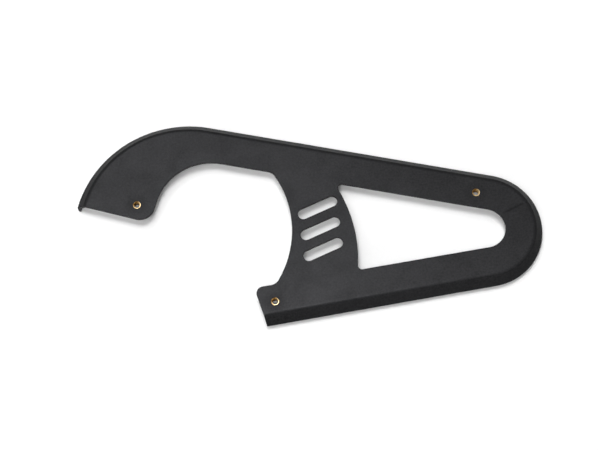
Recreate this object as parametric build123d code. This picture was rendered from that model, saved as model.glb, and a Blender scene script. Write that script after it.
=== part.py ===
from build123d import *
import os
from math import acos, asin, atan2, cos, degrees, radians, sin, sqrt, tan

# Chain guard for a motorcycle: a moulded plate with a sloping shoulder and a wall around its outer edge.
# It lies on the edge of its wall with the face up. X runs from the rear sprocket to the front one.
# Lengths are in millimetres, angles in degrees. The plan is drawn with the rear sprocket's centre at 0, 0.

# Outer form
CENTRE_DISTANCE = 299.0
REAR_RADIUS = 114.4
FRONT_RADIUS = 59.1
FRONT_RISE = 1.4
LOWER_RUN_EASE = 0.2
DEPTH = 21.5
WALL = 3.0

# Section of the rim
SHOULDER_WIDTH = 8.5
SHOULDER_DROP = 11.5
INNER_FOLD_RADIUS = 1.5
OUTER_FOLD_RADIUS = INNER_FOLD_RADIUS + WALL
WALL_EDGE_CHAMFER = WALL / 4

# Relief of the wall below the lower run
LOWER_LIP = 1.5
RELIEF_END_ANGLE = 22.0
RELIEF_SLOPE = 45.0

# Openings in the face
UPPER_INNER_RADIUS = 74.3
LOWER_INNER_RADIUS = 72.7
FRONT_INNER_RADIUS = 20.4
WEB_REAR_RADIUS = 105.9
WEB_REAR_DROP = 2.1
WEB_WIDTH = 65.6
WEB_FRONT_RADIUS = 145.0
WEB_FRONT_DROP = 30.5
OPENING_CORNER_RADIUS = 10.0
TRIANGLE_CORNER_RADIUS = 4.0
EDGE_BREAK = 0.4

# Hooked rear end and lower tab
HOOK_PLACE = Vector(-46.8, 24.8)
HOOK_RADIUS = 15.0
CUT_ANGLE = 14.2
STRAP_ANGLE = 74.1
STRAP_CORNER_RADIUS = 56.0
TAB_ANGLE = 70.2
TAB_MARGIN = 15.0
TAB_CORNER_RADIUS = 7.0

# Slots in the web, in a row that leans with it
SLOT_COUNT = 3
SLOT_WIDTH = 11.0
SLOT_MARGIN = 13.0
SLOT_PITCH = 22.0
SLOT_ANGLE = 25.0
SLOT_ROW_ANGLE = 97.0
SLOT_ROW_SETBACK = 4.5

# Bosses with threaded inserts for M6 screws
REAR_INSERT_PLACE = Vector(-49.9, 24.9)
LOWER_INSERT_SETBACK = 0.8
LOWER_INSERT_MARGIN = 17.3
FRONT_INSERT_SETBACK = 7.8
FRONT_INSERT_MARGIN = 15.2
INSERT_RADIUS = 3.9
THREAD_BORE_RADIUS = 2.5
BORE_CHAMFER = 0.7
GROOVE_WIDTH = 1.8
GROOVE_DEPTH = 0.5
BOSS_WALL = 3.5
BOSS_RADIUS = INSERT_RADIUS + BOSS_WALL
BOSS_LENGTH = 8.0
BOSS_FLARE = 1.5

FRONT_CENTRE = Vector(CENTRE_DISTANCE, 0)
RIM_FRONT_CENTRE = Vector(CENTRE_DISTANCE, FRONT_RISE)
REACH = 2 * (CENTRE_DISTANCE + REAR_RADIUS)
SHOULDER_ANGLE = degrees(atan2(SHOULDER_DROP, SHOULDER_WIDTH))
FOLD_RUN = OUTER_FOLD_RADIUS * tan(radians(SHOULDER_ANGLE / 2))
RIM_AXIS_ANGLE = degrees(atan2(FRONT_RISE, CENTRE_DISTANCE))
UPPER_RUN_ANGLE = degrees(asin((REAR_RADIUS - FRONT_RADIUS) / RIM_FRONT_CENTRE.length)) - RIM_AXIS_ANGLE
LOWER_RUN_ANGLE = UPPER_RUN_ANGLE - LOWER_RUN_EASE
UPPER_INNER_ANGLE = degrees(asin((UPPER_INNER_RADIUS - FRONT_INNER_RADIUS) / CENTRE_DISTANCE))
LOWER_INNER_ANGLE = degrees(asin((LOWER_INNER_RADIUS - FRONT_INNER_RADIUS) / CENTRE_DISTANCE))
WEB_REAR_CENTRE = Vector(0, -WEB_REAR_DROP)
WEB_FRONT_CENTRE = Vector(WEB_REAR_RADIUS + WEB_WIDTH - WEB_FRONT_RADIUS, -WEB_FRONT_DROP)


def polar(radius, angle):
    """Plan vector of a length and a direction"""
    return Vector(radius * cos(radians(angle)), radius * sin(radians(angle)))


# Each straight edge in plan has a normal, which points out of the moulding
UPPER_NORMAL = polar(1, 90 - UPPER_RUN_ANGLE)
LOWER_NORMAL = polar(1, LOWER_RUN_ANGLE - 90)
UPPER_INNER_NORMAL = polar(1, 90 - UPPER_INNER_ANGLE)
LOWER_INNER_NORMAL = polar(1, LOWER_INNER_ANGLE - 90)
CUT_NORMAL = polar(1, -90 - CUT_ANGLE)
STRAP_NORMAL = polar(1, STRAP_ANGLE - 90)
TAB_NORMAL = polar(1, -90 - TAB_ANGLE)


def crossing(normal_a, offset_a, normal_b, offset_b):
    """Point where two lines meet, each given by its normal and its offset from the rear centre"""
    turn = normal_a.X * normal_b.Y - normal_a.Y * normal_b.X
    x = (offset_a * normal_b.Y - offset_b * normal_a.Y) / turn
    y = (normal_a.X * offset_b - normal_b.X * offset_a) / turn
    return Vector(x, y)


def web_corner(normal, offset):
    """Rear corner of the web, where its edge meets an inner run"""
    rise = offset - normal.dot(WEB_REAR_CENTRE)
    reach = sqrt(WEB_REAR_RADIUS**2 - rise**2)
    forward = (Vector(1, 0) - normal * normal.X).normalized()
    return WEB_REAR_CENTRE + normal * rise + forward * reach


WEB_TOP = web_corner(UPPER_INNER_NORMAL, UPPER_INNER_RADIUS)
WEB_LOW = web_corner(LOWER_INNER_NORMAL, LOWER_INNER_RADIUS)


def place_beside_run(x, normal, offset):
    """Place of an insert at an offset from the rear centre, beside an inner run"""
    return Vector(x, (offset - normal.X * x) / normal.Y)


def insert_places():
    """Each insert's name and its centre in plan"""
    lower_x = WEB_LOW.X - LOWER_INSERT_SETBACK
    lower_offset = LOWER_INNER_RADIUS + LOWER_INSERT_MARGIN
    front_x = CENTRE_DISTANCE - FRONT_INSERT_SETBACK
    front_offset = UPPER_INNER_RADIUS + FRONT_INSERT_MARGIN
    return {
        "rear_insert": REAR_INSERT_PLACE,
        "lower_insert": place_beside_run(lower_x, LOWER_INNER_NORMAL, lower_offset),
        "front_insert": place_beside_run(front_x, UPPER_INNER_NORMAL, front_offset),
    }


def round_corners(outline, corners):
    """Rounds the corners of a plan outline, each given by its place and its radius"""
    for place, radius in corners:
        corner = outline.vertices().sort_by_distance(place)[0]
        outline = fillet(corner, radius)
    return outline


def outer_outline(inset):
    """Closed plan of the guard before its rear mouth is cut, drawn inside the wall by an inset"""
    rear = REAR_RADIUS - inset
    front = FRONT_RADIUS - inset
    lower_offset = front + LOWER_NORMAL.dot(RIM_FRONT_CENTRE)
    upper_rear = UPPER_NORMAL * rear
    upper_front = RIM_FRONT_CENTRE + UPPER_NORMAL * front
    lower_front = RIM_FRONT_CENTRE + LOWER_NORMAL * front
    lower_rear = polar(rear, LOWER_RUN_ANGLE - 90 - degrees(acos(lower_offset / rear)))
    return make_face([
        Line(upper_rear, upper_front),
        ThreePointArc(upper_front, RIM_FRONT_CENTRE + Vector(front, 0), lower_front),
        Line(lower_front, lower_rear),
        ThreePointArc(lower_rear, Vector(-rear, 0), upper_rear),
    ])


def rim_path():
    """The wall's outer edge in plan, from behind the rear mouth over the top to beyond the lower tab"""
    rearmost = Vector(-REAR_RADIUS, 0)
    rear_middle = polar(REAR_RADIUS, 135 - UPPER_RUN_ANGLE / 2)
    upper_rear = UPPER_NORMAL * REAR_RADIUS
    upper_front = RIM_FRONT_CENTRE + UPPER_NORMAL * FRONT_RADIUS
    lower_front = RIM_FRONT_CENTRE + LOWER_NORMAL * FRONT_RADIUS
    lower_end = lower_front - polar(CENTRE_DISTANCE, LOWER_RUN_ANGLE)
    return Wire([
        ThreePointArc(rearmost, rear_middle, upper_rear),
        Line(upper_rear, upper_front),
        ThreePointArc(upper_front, RIM_FRONT_CENTRE + Vector(FRONT_RADIUS, 0), lower_front),
        Line(lower_front, lower_end),
    ])


def rim_section():
    """Section of the rim at its rear end: a strip of the face, the shoulder and the wall"""
    face_end = -SHOULDER_WIDTH - FOLD_RUN - WALL
    shoulder_low = DEPTH - SHOULDER_DROP
    under_face = DEPTH - WALL
    inner_fold = (-SHOULDER_WIDTH - WALL * tan(radians(SHOULDER_ANGLE / 2)), under_face)
    inner_turn = (-WALL, shoulder_low - WALL * tan(radians(45 - SHOULDER_ANGLE / 2)))
    fold = (-SHOULDER_WIDTH, DEPTH)
    turn = (0, shoulder_low)
    section = make_face(Polyline(
        (face_end, DEPTH), fold, turn, (0, WALL_EDGE_CHAMFER), (-WALL_EDGE_CHAMFER, 0),
        (WALL_EDGE_CHAMFER - WALL, 0), (-WALL, WALL_EDGE_CHAMFER),
        inner_turn, inner_fold, (face_end, under_face), close=True))
    section = round_corners(section, [
        (fold, OUTER_FOLD_RADIUS),
        (turn, OUTER_FOLD_RADIUS),
        (inner_turn, INNER_FOLD_RADIUS),
        (inner_fold, INNER_FOLD_RADIUS),
    ])
    plane = Plane(origin=(-REAR_RADIUS, 0, 0), x_dir=(-1, 0, 0), z_dir=(0, 1, 0))
    return plane * section


def mouth_outline():
    """Plan of the open rear mouth: around the hooked end, along the runs and the web, out past the tab"""
    cut_start = HOOK_PLACE + CUT_NORMAL * HOOK_RADIUS
    far_left = cut_start + polar(REACH, 180 - CUT_ANGLE)
    hook_middle = HOOK_PLACE + polar(HOOK_RADIUS, (STRAP_ANGLE - CUT_ANGLE) / 2 - 90)
    strap_start = HOOK_PLACE + STRAP_NORMAL * HOOK_RADIUS
    strap_offset = STRAP_NORMAL.dot(strap_start)
    strap_top = crossing(STRAP_NORMAL, strap_offset, UPPER_INNER_NORMAL, UPPER_INNER_RADIUS)
    tab_offset = TAB_NORMAL.dot(insert_places()["lower_insert"]) + TAB_MARGIN
    tab_corner = crossing(TAB_NORMAL, tab_offset, LOWER_INNER_NORMAL, LOWER_INNER_RADIUS)
    far_low = tab_corner + polar(REACH, -TAB_ANGLE)
    mouth = make_face([
        Line(far_left, cut_start),
        ThreePointArc(cut_start, hook_middle, strap_start),
        Polyline(strap_start, strap_top, WEB_TOP),
        ThreePointArc(WEB_TOP, WEB_REAR_CENTRE + Vector(WEB_REAR_RADIUS, 0), WEB_LOW),
        Polyline(WEB_LOW, tab_corner, far_low, far_left),
    ])
    return round_corners(mouth, [
        (strap_top, STRAP_CORNER_RADIUS),
        (WEB_TOP, OPENING_CORNER_RADIUS),
        (WEB_LOW, OPENING_CORNER_RADIUS),
        (tab_corner, TAB_CORNER_RADIUS),
    ])


def triangle_outline():
    """Plan of the front opening, between the runs and the web, round about the front sprocket"""
    front_top = FRONT_CENTRE + UPPER_INNER_NORMAL * FRONT_INNER_RADIUS
    front_low = FRONT_CENTRE + LOWER_INNER_NORMAL * FRONT_INNER_RADIUS
    rear_top = UPPER_INNER_NORMAL * UPPER_INNER_RADIUS
    rear_low = LOWER_INNER_NORMAL * LOWER_INNER_RADIUS
    runs = make_face([
        Polyline(front_low, rear_low, rear_top, front_top),
        ThreePointArc(front_top, FRONT_CENTRE + Vector(FRONT_INNER_RADIUS, 0), front_low),
    ])
    triangle = runs - Pos(WEB_FRONT_CENTRE) * Circle(WEB_FRONT_RADIUS)
    corners = triangle.vertices().sort_by(Axis.X)[:2]
    return fillet(corners, TRIANGLE_CORNER_RADIUS)


def slot_outlines():
    """Plan of the slanted slots in the web"""
    row_centre = Vector(WEB_REAR_RADIUS + WEB_WIDTH / 2 - SLOT_ROW_SETBACK, 0)
    run = (WEB_WIDTH - 2 * SLOT_MARGIN - SLOT_WIDTH) / cos(radians(SLOT_ANGLE))
    slots = Sketch()
    for index in range(SLOT_COUNT):
        place = row_centre + polar((index - (SLOT_COUNT - 1) / 2) * SLOT_PITCH, SLOT_ROW_ANGLE)
        slots += Pos(place) * Rot(0, 0, SLOT_ANGLE) * SlotCenterToCenter(run, SLOT_WIDTH)
    return slots


def lower_relief():
    """Room under the lower run, where only the shoulder and a short lip are left of the rim"""
    height = DEPTH - SHOULDER_DROP - LOWER_LIP
    end = -FRONT_RADIUS * sin(radians(RELIEF_END_ANGLE))
    slope_run = height / tan(radians(RELIEF_SLOPE))
    side = make_face(Polyline(
        (-REACH, -height), (-REACH, height),
        (end - slope_run, height), (end + slope_run, -height), close=True))
    return extrude(Plane.YZ * side, REACH, both=True)


def break_edges(shell, outlines):
    """Breaks the sharp edges of the openings on the face side"""
    touching = EDGE_BREAK / 100
    face = shell.faces().filter_by(Axis.Z).sort_by(Axis.Z)[-1]
    borders = [Pos(0, 0, DEPTH) * wire for outline in outlines for wire in outline.wires()]
    edges = [
        edge for edge in face.edges()
        if min(wire.distance_to(edge @ 0.5) for wire in borders) < touching
    ]
    return chamfer(edges, EDGE_BREAK)


def boss(place):
    """Boss behind the face, flared where it leaves the plate"""
    low = DEPTH - BOSS_LENGTH
    root = DEPTH - WALL
    flare_radius = BOSS_RADIUS + BOSS_FLARE
    profile = make_face(Polyline(
        (0, DEPTH), (0, low), (BOSS_RADIUS, low), (BOSS_RADIUS, root - BOSS_FLARE),
        (flare_radius, root), (flare_radius, DEPTH), close=True))
    return Pos(place) * revolve(Plane.XZ * profile, Axis.Z)


def insert_body(place):
    """Outside of an insert, with the groove that locks it in the plastic"""
    middle = DEPTH - BOSS_LENGTH / 2
    body = Pos(0, 0, middle) * Cylinder(INSERT_RADIUS, BOSS_LENGTH)
    groove_core = Cylinder(INSERT_RADIUS - GROOVE_DEPTH, GROOVE_WIDTH)
    groove = Pos(0, 0, middle) * (Cylinder(INSERT_RADIUS, GROOVE_WIDTH) - groove_core)
    return Pos(place) * (body - groove)


def insert(place):
    """Brass insert, level with the boss at both ends, with its bore right through"""
    bore = Pos(place) * Pos(0, 0, DEPTH - BOSS_LENGTH / 2) * Cylinder(THREAD_BORE_RADIUS, BOSS_LENGTH)
    sleeve = insert_body(place) - bore
    mouths = sleeve.edges().filter_by(GeomType.CIRCLE).group_by(SortBy.RADIUS)[0]
    return chamfer(mouths, BORE_CHAMFER)


def guard_shell():
    """The moulding: face plate and rim, its openings, and the bosses with room for the inserts"""
    plate = Pos(0, 0, DEPTH - WALL) * extrude(outer_outline(SHOULDER_WIDTH + FOLD_RUN), WALL)
    shell = plate + sweep(rim_section(), path=rim_path()) - lower_relief()
    outlines = [mouth_outline(), triangle_outline(), slot_outlines()]
    for outline in outlines:
        shell -= extrude(outline, REACH, both=True)
    shell = break_edges(shell, outlines)
    for place in insert_places().values():
        shell = shell + boss(place) - insert_body(place)
    return shell


def main():
    nodes = {"guard_shell": guard_shell()}
    for name, place in insert_places().items():
        nodes[name] = insert(place)
    middle = nodes["guard_shell"].bounding_box().center()
    os.makedirs("parts", exist_ok=True)
    for name, solid in nodes.items():
        export_step(Pos(-middle.X, -middle.Y, 0) * solid, f"parts/{name}.step")


main()
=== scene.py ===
import math

import bpy
import numpy as np
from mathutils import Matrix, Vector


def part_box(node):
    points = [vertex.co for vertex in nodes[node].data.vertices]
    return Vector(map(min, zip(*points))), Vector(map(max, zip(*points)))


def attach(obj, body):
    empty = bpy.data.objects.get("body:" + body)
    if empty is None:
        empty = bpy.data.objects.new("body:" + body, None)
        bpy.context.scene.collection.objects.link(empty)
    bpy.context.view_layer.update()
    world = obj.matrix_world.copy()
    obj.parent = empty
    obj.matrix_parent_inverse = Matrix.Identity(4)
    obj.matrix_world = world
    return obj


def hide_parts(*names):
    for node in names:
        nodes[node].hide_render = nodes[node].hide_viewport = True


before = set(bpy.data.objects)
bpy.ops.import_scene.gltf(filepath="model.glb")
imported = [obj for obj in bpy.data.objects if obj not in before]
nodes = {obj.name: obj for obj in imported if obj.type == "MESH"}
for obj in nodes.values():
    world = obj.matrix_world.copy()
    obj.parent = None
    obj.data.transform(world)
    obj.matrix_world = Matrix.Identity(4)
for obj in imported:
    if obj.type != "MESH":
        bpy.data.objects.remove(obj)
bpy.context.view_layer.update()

MM = 0.001
TURN = 2 * math.pi

# Camera: it looks down at the face, leaning back from straight above
TILT = math.radians(18.0)
ROLL = math.radians(-0.13)
CAMERA_DISTANCE = 1.5
AIM = (-0.0095, -0.005, 0.0215)
LENS = 90.0
SENSOR = 36.0

# Plastic: colours, and the gloss of the rim and the face with the heights between which it turns; the rim's
# low gloss is painted shade
PLASTIC_DARK = (0.0107, 0.0108, 0.0113, 1)
PLASTIC_LIGHT = (0.0217, 0.0218, 0.0230, 1)
PLASTIC_TINT = (0.95, 0.95, 1.0, 1)
PLASTIC_IOR = 1.5
RIM_HEIGHT = 0.0206
FACE_HEIGHT = 0.02125
RIM_GLOSS = 0.019
FACE_GLOSS = 0.118
RIM_ROUGHNESS = 0.3
FACE_ROUGHNESS = 0.385
GRAIN_DEPTH = 0.0002

# Marks of the moulding: reach of each from full to none, and the share of the gloss that it leaves
WELD_LINE = ((0.1945, 0.0072), (0.2165, 0.0182))
WELD_REACH = (0.0003, 0.0016)
WELD_GLOSS = 0.6
SINK_REACH = (0.004, 0.013)
SINK_GLOSS = 0.62

# Brass: a painted shade colour and a painted highlight colour, and the side that is painted lit
BRASS_SHADED = (0.14, 0.07, 0.014, 1)
BRASS_LIT = (0.70, 0.52, 0.28, 1)
LIT_SIDE = (0.6, -0.8)
LIT_REACH = 0.0026
TURNING_DEPTH = 0.00003

# Inserts, in millimetres
INSERT_NODES = ("rear_insert", "lower_insert", "front_insert")
INSERT_RADIUS = 3.9
FLANGE_LENGTH = 0.8
KNURL_DEPTH = 0.14
KNURL_COUNT = 36
SIDES_PER_KNURL = 4
GROOVE_RADIUS = 3.4
GROOVE_WIDTH = 1.8
MOUTH_CHAMFER = 0.7
THREAD_MINOR = 2.5
THREAD_DEPTH = 0.4
THREAD_PITCH = 1.0
THREAD_CREST = 0.2
THREAD_FLANK = 0.32
STEPS_PER_PITCH = 10
RING_EDGE = 0.15
WELD_DISTANCE = 0.000002
SHARP_ANGLE = math.radians(28)

# Studio: floor, overhead panels by name, place and power, low fills, and heights where the backdrop fades
FLOOR_HALF_SIZE = 8.0
FLOOR_DROP = 0.0002
FLOOR_SHADES = (0.84, 0.88)
FLOOR_GLOW = 0.075
PANEL_HEIGHT = 2.4
PANEL_SIZE = (0.6, 0.6)
PANELS = (
    ("front_panel", -0.3, -0.9, 16.3),
    ("middle_panel", -0.07, 0.05, 33.2),
    ("back_panel", -0.44, 0.82, 12.0),
    ("left_panel", -1.1, 0.3, 4.0),
    ("corner_panel", -1.5, -0.9, 6.0),
)
FILL_HEIGHT = 1.2
FILL_SIZE = (2.0, 1.2)
FILLS = (
    ("left_fill", -2.4, 0.0, 9.0),
    ("front_fill", 0.0, -2.6, 19.5),
)
BACKDROP_FADE = (0.04, 0.12)


class Shader:
    """A material's node tree, with short calls to add and join nodes"""

    def __init__(self, name):
        self.material = bpy.data.materials.new(name)
        self.material.use_nodes = True
        self.tree = self.material.node_tree
        self.tree.nodes.clear()
        self.output = self.add("ShaderNodeOutputMaterial")

    def add(self, kind, **settings):
        node = self.tree.nodes.new(kind)
        for key, value in settings.items():
            setattr(node, key, value)
        return node

    def join(self, source, target):
        self.tree.links.new(source, target)

    def feed(self, socket, value):
        """Joins a socket to another, or sets it to a constant"""
        if isinstance(value, bpy.types.NodeSocket):
            self.join(value, socket)
        else:
            socket.default_value = value

    def put(self, node, **inputs):
        for key, value in inputs.items():
            self.feed(node.inputs[key.replace("_", " ")], value)

    def math(self, operation, a, b=None, clamp=False):
        node = self.add("ShaderNodeMath", operation=operation, use_clamp=clamp)
        self.feed(node.inputs[0], a)
        if b is not None:
            self.feed(node.inputs[1], b)
        return node.outputs[0]

    def span(self, value, low, high, to_low, to_high):
        node = self.add("ShaderNodeMapRange")
        self.put(node, Value=value, From_Min=low, From_Max=high, To_Min=to_low, To_Max=to_high)
        return node.outputs["Result"]

    def noise(self, place, scale, detail=2.0, roughness=0.5, distortion=0.0):
        node = self.add("ShaderNodeTexNoise")
        self.put(node, Vector=place, Scale=scale, Detail=detail, Roughness=roughness, Distortion=distortion)
        return node.outputs["Fac"]

    def colour_mix(self, factor, a, b):
        node = self.add("ShaderNodeMix", data_type="RGBA")
        for index, value in ((0, factor), (6, a), (7, b)):
            self.feed(node.inputs[index], value)
        return node.outputs[2]

    def bump(self, height, strength, distance, under=None):
        node = self.add("ShaderNodeBump")
        self.put(node, Height=height, Strength=strength, Distance=distance)
        if under is not None:
            self.join(under, node.inputs["Normal"])
        return node.outputs["Normal"]

    def place(self):
        """The place on the object, whole and split into x, y and z"""
        whole = self.add("ShaderNodeTexCoord").outputs["Object"]
        split = self.add("ShaderNodeSeparateXYZ")
        self.join(whole, split.inputs[0])
        return whole, split.outputs


def grey(value):
    return (value, value, value, 1.0)


def weld_line(s, x, y):
    """1 on the faint line where the plastic met at the front end, 0 beside it"""
    (x0, y0), (x1, y1) = WELD_LINE
    length = math.hypot(x1 - x0, y1 - y0)
    along_x, along_y = (x1 - x0) / length, (y1 - y0) / length
    along = s.math("ADD", s.math("MULTIPLY", x, along_x), s.math("MULTIPLY", y, along_y))
    along = s.math("SUBTRACT", along, x0 * along_x + y0 * along_y + length / 2)
    beside = s.math("SUBTRACT", s.math("MULTIPLY", y, along_x), s.math("MULTIPLY", x, along_y))
    beside = s.math("SUBTRACT", beside, y0 * along_x - x0 * along_y)
    thin = s.span(s.math("ABSOLUTE", beside), *WELD_REACH, 1.0, 0.0)
    short = s.span(s.math("ABSOLUTE", along), length * 0.35, length * 0.55, 1.0, 0.0)
    return s.math("MULTIPLY", thin, short)


def sink_marks(s, place):
    """1 on the face at the inserts, fading to 0 around them, where the plastic sank as it cooled"""
    marks = 0.0
    for node in INSERT_NODES:
        low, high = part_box(node)
        away = s.add("ShaderNodeVectorMath", operation="DISTANCE")
        s.join(place, away.inputs[0])
        away.inputs[1].default_value = ((low.x + high.x) / 2, (low.y + high.y) / 2, high.z)
        marks = s.math("MAXIMUM", marks, s.span(away.outputs["Value"], *SINK_REACH, 1.0, 0.0))
    return marks


def moulded_plastic():
    """Satin black plastic with the grain and flow marks of its mould, its gloss cut low on the rim and the
    wall as painted shade
    """
    s = Shader("moulded_plastic")
    place, (x, y, z) = s.place()
    weld = weld_line(s, x, y)
    face = s.span(z, RIM_HEIGHT, FACE_HEIGHT, 0.0, 1.0)

    grain = s.noise(place, 520.0, 2.0, 0.55)
    fine = s.noise(place, 1700.0)
    cloud = s.noise(place, 14.0)
    tone = s.math("ADD", s.span(cloud, 0.3, 0.7, -0.12, 0.12), s.span(grain, 0.25, 0.75, -0.45, 0.45))
    tone = s.math("ADD", tone, s.span(fine, 0.25, 0.75, -0.2, 0.2))
    tone = s.math("ADD", tone, 0.5, clamp=True)
    tone = s.math("SUBTRACT", tone, s.math("MULTIPLY", weld, 0.5), clamp=True)
    base = s.colour_mix(tone, PLASTIC_DARK, PLASTIC_LIGHT)

    mottle = s.noise(place, 380.0, 3.0, 0.6)
    flow = s.noise(place, 36.0, 3.0, 0.55, 1.0)
    # Painted shade: the rim's gloss is cut low so that it reflects less than the face
    gloss = s.span(face, 0.0, 1.0, RIM_GLOSS, FACE_GLOSS)
    gloss = s.math("MULTIPLY", gloss, s.span(mottle, 0.25, 0.75, 0.88, 1.12))
    gloss = s.math("MULTIPLY", gloss, s.span(flow, 0.3, 0.7, 0.77, 1.23))
    gloss = s.math("MULTIPLY", gloss, s.span(sink_marks(s, place), 0.0, 1.0, 1.0, SINK_GLOSS))
    gloss = s.math("MULTIPLY", gloss, s.span(weld, 0.0, 1.0, 1.0, WELD_GLOSS))

    rough = s.math("ADD", s.span(grain, 0.25, 0.75, -0.03, 0.03), s.span(cloud, 0.3, 0.7, -0.015, 0.015))
    rough = s.math("ADD", rough, s.span(face, 0.0, 1.0, RIM_ROUGHNESS, FACE_ROUGHNESS))

    pebble = s.add("ShaderNodeTexVoronoi", feature="SMOOTH_F1")
    s.put(pebble, Vector=place, Scale=900.0, Smoothness=0.6)
    normal = s.bump(pebble.outputs["Distance"], 0.11, GRAIN_DEPTH)
    normal = s.bump(grain, 0.16, GRAIN_DEPTH, normal)

    shader = s.add("ShaderNodeBsdfPrincipled")
    s.put(shader, Base_Color=base, Roughness=rough, Normal=normal)
    s.put(shader, IOR=PLASTIC_IOR, Specular_IOR_Level=gloss, Specular_Tint=PLASTIC_TINT)
    s.join(shader.outputs[0], s.output.inputs["Surface"])
    return s.material


def turned_brass():
    """Brass with turning marks round the axis, painted pale on one side as a highlight and brown on the
    other as shade, with random blotches
    """
    s = Shader("turned_brass")
    place, (x, y, _) = s.place()
    rings = s.add("ShaderNodeTexWave", wave_type="RINGS", rings_direction="Z")
    s.put(rings, Vector=place, Scale=900.0, Distortion=0.6, Detail=1.0)
    blotch = s.noise(place, 700.0, 3.0, 0.6)
    fine = s.noise(place, 4000.0)

    # Painted light: one side of each insert is painted pale as a highlight and the other brown as shade
    across = s.math("ADD", s.math("MULTIPLY", x, LIT_SIDE[0]), s.math("MULTIPLY", y, LIT_SIDE[1]))
    lit_share = s.span(across, -LIT_REACH, LIT_REACH, 0.0, 1.0)
    lit_share = s.math("ADD", lit_share, s.span(blotch, 0.3, 0.7, -0.25, 0.25), clamp=True)
    base = s.colour_mix(lit_share, BRASS_SHADED, BRASS_LIT)

    rough = s.math("ADD", s.span(blotch, 0.3, 0.7, -0.06, 0.08), s.span(fine, 0.3, 0.7, -0.04, 0.04))
    rough = s.math("ADD", rough, s.span(lit_share, 0.0, 1.0, 0.5, 0.36))
    normal = s.bump(rings.outputs["Fac"], 0.12, TURNING_DEPTH)
    normal = s.bump(fine, 0.1, TURNING_DEPTH, normal)

    shader = s.add("ShaderNodeBsdfPrincipled")
    s.put(shader, Base_Color=base, Roughness=rough, Normal=normal, Metallic=1.0)
    s.join(shader.outputs[0], s.output.inputs["Surface"])
    return s.material


def seen_directly(s):
    """1 on rays from the camera, in mirrors and through glass, and 0 on light that bounces about"""
    path = s.add("ShaderNodeLightPath")
    seen = s.math("MAXIMUM", path.outputs["Is Camera Ray"], path.outputs["Is Glossy Ray"])
    return s.math("MAXIMUM", seen, path.outputs["Is Transmission Ray"])


def studio_floor():
    """White paper that keeps the shadow and looks white to the camera"""
    s = Shader("studio_floor")
    place, _ = s.place()
    fibre = s.noise(place, 300.0, 3.0, 0.6)
    paper = s.add("ShaderNodeBsdfDiffuse")
    s.put(paper, Color=s.colour_mix(fibre, *map(grey, FLOOR_SHADES)), Roughness=0.9)
    glow = s.add("ShaderNodeEmission")
    s.put(glow, Color=grey(1.0), Strength=s.math("MULTIPLY", seen_directly(s), FLOOR_GLOW))
    both = s.add("ShaderNodeAddShader")
    s.join(paper.outputs[0], both.inputs[0])
    s.join(glow.outputs[0], both.inputs[1])
    s.join(both.outputs[0], s.output.inputs["Surface"])
    return s.material


def thread_bite(phase):
    """Share of the thread's depth at a phase of its pitch: crest, flank, root, flank"""
    phase = phase % 1.0
    if phase < THREAD_CREST:
        return 0.0
    if phase < THREAD_CREST + THREAD_FLANK:
        return (phase - THREAD_CREST) / THREAD_FLANK
    if phase < 1.0 - THREAD_FLANK:
        return 1.0
    return (1.0 - phase) / THREAD_FLANK


def ring_profile(length):
    """An insert's half section without its bore, from the top mouth: radius, height and knurl share"""
    top = length / 2
    half_groove = GROOVE_WIDTH / 2
    knurl_top = top - FLANGE_LENGTH
    outer = INSERT_RADIUS
    points = [
        (THREAD_MINOR + MOUTH_CHAMFER, top, 0),
        (outer - RING_EDGE, top, 0),
        (outer, top - RING_EDGE, 0),
        (outer, knurl_top, 0),
        (outer, knurl_top, 1),
        (outer, half_groove, 1),
        (GROOVE_RADIUS, half_groove, 0),
    ]
    return points + [(radius, -height, knurl) for radius, height, knurl in reversed(points)]


def insert_mesh(name, length):
    """Threaded insert about its own centre, in metres"""
    sides = KNURL_COUNT * SIDES_PER_KNURL
    steps = int(round(length / THREAD_PITCH * STEPS_PER_PITCH))
    angles = np.arange(sides) / sides * TURN
    in_notch = np.arange(sides) % SIDES_PER_KNURL >= SIDES_PER_KNURL // 2
    rows = []
    for radius, height, knurl in ring_profile(length):
        notch = np.where(in_notch, KNURL_DEPTH, 0.0) * knurl
        rows.append((radius - notch, np.full(sides, height)))
    low, high = -length / 2, length / 2
    for step in range(steps + 1):
        height = low + (high - low) * step / steps
        from_end = min(height - low, high - height)
        lead_in = max(0.0, MOUTH_CHAMFER - from_end)
        share = min(1.0, from_end / MOUTH_CHAMFER)
        bite = np.array([thread_bite(height / THREAD_PITCH - angle / TURN) for angle in angles])
        radius = np.maximum(THREAD_MINOR + lead_in, THREAD_MINOR + THREAD_DEPTH * bite * share)
        rows.append((radius, np.full(sides, height)))
    points = []
    for radius, height in rows:
        points.extend(zip(radius * np.cos(angles) * MM, radius * np.sin(angles) * MM, height * MM))
    faces = []
    for row in range(len(rows)):
        here = row * sides
        there = (row + 1) % len(rows) * sides
        for side in range(sides):
            beside = (side + 1) % sides
            faces.append((here + side, there + side, there + beside, here + beside))
    mesh = bpy.data.meshes.new(name)
    mesh.from_pydata([tuple(p) for p in points], [], faces)
    mesh.validate()
    return mesh


def add_insert(node, material):
    """Detailed insert in the place of its solid"""
    low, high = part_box(node)
    mesh = insert_mesh(node + "_threaded", (high.z - low.z) / MM)
    piece = bpy.data.objects.new(node + "_threaded", mesh)
    bpy.context.scene.collection.objects.link(piece)
    piece.location = (low + high) / 2
    weld = piece.modifiers.new("weld", "WELD")
    weld.merge_threshold = WELD_DISTANCE
    mesh.materials.append(material)
    mesh.polygons.foreach_set("use_smooth", [True] * len(mesh.polygons))
    mesh.set_sharp_from_angle(angle=SHARP_ANGLE)
    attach(piece, "root")
    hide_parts(node)


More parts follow.
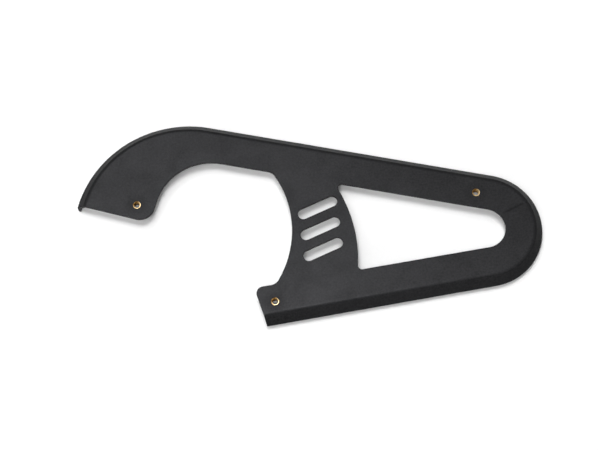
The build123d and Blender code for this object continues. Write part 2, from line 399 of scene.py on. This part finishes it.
def area_light(name, place, size, power):
    """Rectangular lamp that faces the origin"""
    data = bpy.data.lights.new(name, "AREA")
    data.shape = "RECTANGLE"
    data.size, data.size_y = size
    data.energy = power
    lamp = bpy.data.objects.new(name, data)
    bpy.context.scene.collection.objects.link(lamp)
    lamp.location = place
    lamp.visible_camera = False
    lamp.rotation_euler = lamp.location.to_track_quat("Z", "Y").to_euler()


def add_floor():
    size = FLOOR_HALF_SIZE
    corners = [(-size, -size, 0), (size, -size, 0), (size, size, 0), (-size, size, 0)]
    mesh = bpy.data.meshes.new("floor")
    mesh.from_pydata(corners, [], [(0, 1, 2, 3)])
    floor = bpy.data.objects.new("floor", mesh)
    bpy.context.scene.collection.objects.link(floor)
    floor.location.z = -FLOOR_DROP
    mesh.materials.append(studio_floor())


def add_backdrop():
    """Backdrop that is white round the horizon and dark above"""
    world = bpy.data.worlds.new("studio")
    bpy.context.scene.world = world
    world.use_nodes = True
    tree = world.node_tree
    tree.nodes.clear()
    place = tree.nodes.new("ShaderNodeTexCoord")
    split = tree.nodes.new("ShaderNodeSeparateXYZ")
    tree.links.new(place.outputs["Generated"], split.inputs[0])
    fade = tree.nodes.new("ShaderNodeMapRange")
    fade.inputs["From Min"].default_value, fade.inputs["From Max"].default_value = BACKDROP_FADE
    fade.inputs["To Min"].default_value = 1.0
    fade.inputs["To Max"].default_value = 0.0
    tree.links.new(split.outputs[2], fade.inputs["Value"])
    backdrop = tree.nodes.new("ShaderNodeBackground")
    backdrop.inputs["Color"].default_value = grey(1.0)
    tree.links.new(fade.outputs["Result"], backdrop.inputs["Strength"])
    out = tree.nodes.new("ShaderNodeOutputWorld")
    tree.links.new(backdrop.outputs[0], out.inputs["Surface"])


def add_camera():
    data = bpy.data.cameras.new("camera")
    data.lens = LENS
    data.sensor_width = SENSOR
    data.dof.use_dof = False
    eye = bpy.data.objects.new("camera", data)
    bpy.context.scene.collection.objects.link(eye)
    x, y, z = AIM
    eye.location = (x, y - CAMERA_DISTANCE * math.sin(TILT), z + CAMERA_DISTANCE * math.cos(TILT))
    eye.rotation_mode = "ZYX"
    eye.rotation_euler = (TILT, 0, ROLL)
    bpy.context.scene.camera = eye


bpy.context.scene.view_settings.view_transform = "Standard"
shell = nodes["guard_shell"]
shell.data.materials.clear()
shell.data.materials.append(moulded_plastic())
brass = turned_brass()
for node in INSERT_NODES:
    add_insert(node, brass)
add_floor()
for name, x, y, power in PANELS:
    area_light(name, (x, y, PANEL_HEIGHT), PANEL_SIZE, power)
for name, x, y, power in FILLS:
    area_light(name, (x, y, FILL_HEIGHT), FILL_SIZE, power)
add_backdrop()
add_camera()
